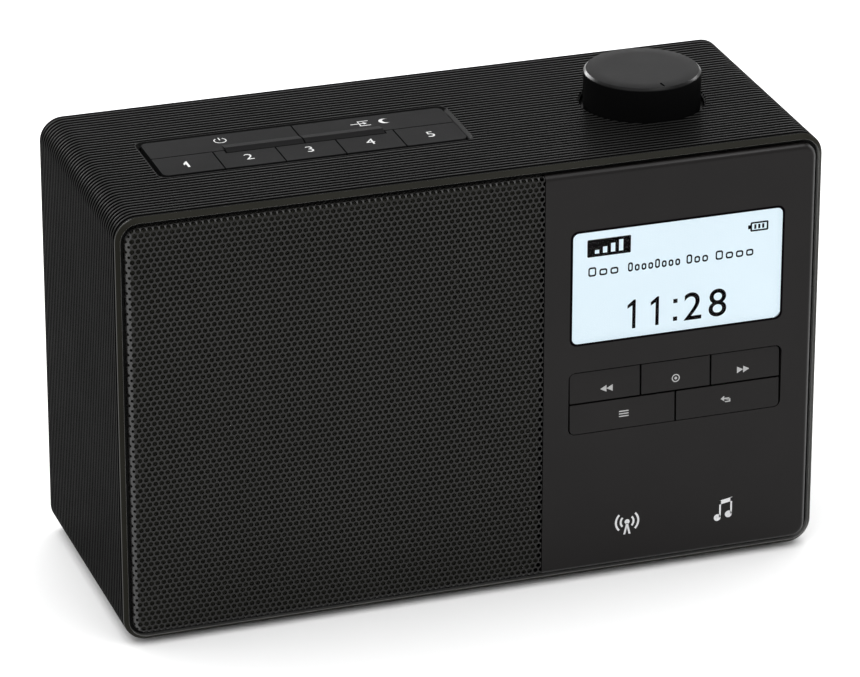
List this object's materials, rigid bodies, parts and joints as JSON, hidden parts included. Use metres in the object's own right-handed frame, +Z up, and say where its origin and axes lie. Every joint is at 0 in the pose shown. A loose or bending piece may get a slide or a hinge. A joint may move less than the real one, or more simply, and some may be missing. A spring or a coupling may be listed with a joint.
{
  "type": "tabletop radio",
  "caption": "Tabletop radio in a ribbed black cabinet, with a speaker grille, a lit display, press keys, a round volume knob and a folding rear aerial.",
  "frame": {"origin": "middle of the footprint, on the surface that the feet stand on", "axes": "+X to the right seen from the front, +Y to the back, +Z up; the display faces -Y"},
  "size_m": [0.242, 0.1016, 0.1621],
  "materials": {
    "black_plastic": "moulded, faint ribs or fine texture",
    "panel_plastic": "smooth satin",
    "key_plastic": "satin with pale grey legends",
    "knob_plastic": "fine satin",
    "grille_steel": "perforated sheet, black powder coat",
    "window_clear": "clear polished",
    "display_light": "lit display",
    "white_plastic": "plain",
    "circuit_board": "green solder mask",
    "switch_plastic": "plain",
    "steel": "plain zinc-coated",
    "screw_steel": "black oxide",
    "chrome_tube": "polished",
    "aluminium": "extruded",
    "ferrite": "sintered",
    "paper_cone": "pressed paper",
    "rubber": "matt",
    "copper_coil": "enamelled wire",
    "battery_wrap": "printed sleeve, no words",
    "lead_red": "insulation"
  },
  "bodies": {
    "cabinet": {"amplifier_heatsink": "aluminium", "battery_cells": "battery_wrap", "battery_contacts": "steel", "board_capacitors": "battery_wrap", "board_screws": "steel", "cabinet_shell": "black_plastic", "case_screws": "screw_steel", "control_panel": "panel_plastic", "display_backlight": "white_plastic", "display_board": "circuit_board", "display_glass": "display_light", "display_window": "window_clear", "earphone_socket": "switch_plastic", "encoder_body": "steel", "encoder_nut": "steel", "front_baffle": "black_plastic", "front_key_board": "circuit_board", "front_key_switches": "switch_plastic", "main_board": "circuit_board", "power_socket": "switch_plastic", "rear_cover": "black_plastic", "rubber_feet": "rubber", "speaker_basket": "steel", "speaker_gasket": "rubber", "speaker_grille": "grille_steel", "speaker_leads": "lead_red", "speaker_magnet": "ferrite", "speaker_screws": "screw_steel", "speaker_spider": "paper_cone", "speaker_surround": "rubber", "speaker_top_plate": "steel", "speaker_yoke": "steel", "top_key_board": "circuit_board", "top_key_switches": "switch_plastic", "top_key_tray": "black_plastic", "tuner_shield": "steel"},
    "knob": {"volume_knob": "knob_plastic", "encoder_shaft": "steel"},
    "speaker_piston": {"speaker_cone": "paper_cone", "dust_cap": "paper_cone", "voice_coil": "copper_coil"},
    "door": {"battery_door": "black_plastic"},
    "aerial_base": {"aerial_swivel": "switch_plastic", "aerial_pin": "steel"},
    "aerial_outer": {"aerial_outer_tube": "chrome_tube"},
    "aerial_middle": {"aerial_middle_tube": "chrome_tube"},
    "aerial_inner": {"aerial_inner_tube": "chrome_tube", "aerial_tip": "chrome_tube"},
    "rewind_button": {"rewind_key": "panel_plastic"},
    "enter_button": {"enter_key": "panel_plastic"},
    "forward_button": {"forward_key": "panel_plastic"},
    "menu_button": {"menu_key": "panel_plastic"},
    "back_button": {"back_key": "panel_plastic"},
    "power_button": {"power_key": "key_plastic"},
    "source_button": {"source_key": "key_plastic"},
    "preset_button_1": {"preset_key_1": "key_plastic"},
    "preset_button_2": {"preset_key_2": "key_plastic"},
    "preset_button_3": {"preset_key_3": "key_plastic"},
    "preset_button_4": {"preset_key_4": "key_plastic"},
    "preset_button_5": {"preset_key_5": "key_plastic"}
  },
  "joints": [
    {"name": "volume_turn", "type": "hinge", "parent": "cabinet", "child": "knob", "pos_m": [0.0745, -0.00264, 0.1508], "axis": [0, 0, 1], "continuous": true},
    {"name": "rewind_button_press", "type": "slide", "parent": "cabinet", "child": "rewind_button", "axis": [0, 1, 0], "range_m": [0, 0.0004], "stiffness_N_per_m": 2500, "springref_m": -0.0002},
    {"name": "enter_button_press", "type": "slide", "parent": "cabinet", "child": "enter_button", "axis": [0, 1, 0], "range_m": [0, 0.0004], "stiffness_N_per_m": 2500, "springref_m": -0.0002},
    {"name": "forward_button_press", "type": "slide", "parent": "cabinet", "child": "forward_button", "axis": [0, 1, 0], "range_m": [0, 0.0004], "stiffness_N_per_m": 2500, "springref_m": -0.0002},
    {"name": "menu_button_press", "type": "hinge", "parent": "cabinet", "child": "menu_button", "pos_m": [0.051, -0.04754, 0.05535], "axis": [-1, 0, 0], "range_deg": [0, 2.3], "stiffness_Nm_per_rad": 0.35, "springref_deg": -1.15},
    {"name": "back_button_press", "type": "hinge", "parent": "cabinet", "child": "back_button", "pos_m": [0.0885, -0.04754, 0.05535], "axis": [-1, 0, 0], "range_deg": [0, 2.3], "stiffness_Nm_per_rad": 0.35, "springref_deg": -1.15},
    {"name": "power_button_press", "type": "slide", "parent": "cabinet", "child": "power_button", "axis": [0, 0, -1], "range_m": [0, 0.0005], "stiffness_N_per_m": 2500, "springref_m": -0.0002},
    {"name": "source_button_press", "type": "slide", "parent": "cabinet", "child": "source_button", "axis": [0, 0, -1], "range_m": [0, 0.0005], "stiffness_N_per_m": 2500, "springref_m": -0.0002},
    {"name": "preset_button_1_press", "type": "slide", "parent": "cabinet", "child": "preset_button_1", "axis": [0, 0, -1], "range_m": [0, 0.0005], "stiffness_N_per_m": 2500, "springref_m": -0.0002},
    {"name": "preset_button_2_press", "type": "slide", "parent": "cabinet", "child": "preset_button_2", "axis": [0, 0, -1], "range_m": [0, 0.0005], "stiffness_N_per_m": 2500, "springref_m": -0.0002},
    {"name": "preset_button_3_press", "type": "slide", "parent": "cabinet", "child": "preset_button_3", "axis": [0, 0, -1], "range_m": [0, 0.0005], "stiffness_N_per_m": 2500, "springref_m": -0.0002},
    {"name": "preset_button_4_press", "type": "slide", "parent": "cabinet", "child": "preset_button_4", "axis": [0, 0, -1], "range_m": [0, 0.0005], "stiffness_N_per_m": 2500, "springref_m": -0.0002},
    {"name": "preset_button_5_press", "type": "slide", "parent": "cabinet", "child": "preset_button_5", "axis": [0, 0, -1], "range_m": [0, 0.0005], "stiffness_N_per_m": 2500, "springref_m": -0.0002},
    {"name": "speaker_travel", "type": "slide", "parent": "cabinet", "child": "speaker_piston", "axis": [0, 1, 0], "range_m": [-0.001, 0.001], "stiffness_N_per_m": 2000, "deforming": ["speaker_surround", "speaker_spider"]},
    {"name": "battery_door_open", "type": "hinge", "parent": "cabinet", "child": "door", "pos_m": [-0.05, 0.0428, 0.0139], "axis": [-1, 0, 0], "range_deg": [0, 90]},
    {"name": "aerial_swing", "type": "hinge", "parent": "cabinet", "child": "aerial_base", "pos_m": [0.1, 0.0437, 0.136], "axis": [0, 1, 0], "range_deg": [0, 180]},
    {"name": "aerial_tilt", "type": "hinge", "parent": "aerial_base", "child": "aerial_outer", "pos_m": [0.1, 0.0479, 0.136], "axis": [0, 0, -1], "range_deg": [0, 90]},
    {"name": "aerial_pull_middle", "type": "slide", "parent": "aerial_outer", "child": "aerial_middle", "axis": [-1, 0, 0], "range_m": [0, 0.16]},
    {"name": "aerial_pull_inner", "type": "slide", "parent": "aerial_middle", "child": "aerial_inner", "axis": [-1, 0, 0], "range_m": [0, 0.16]}
  ]
}
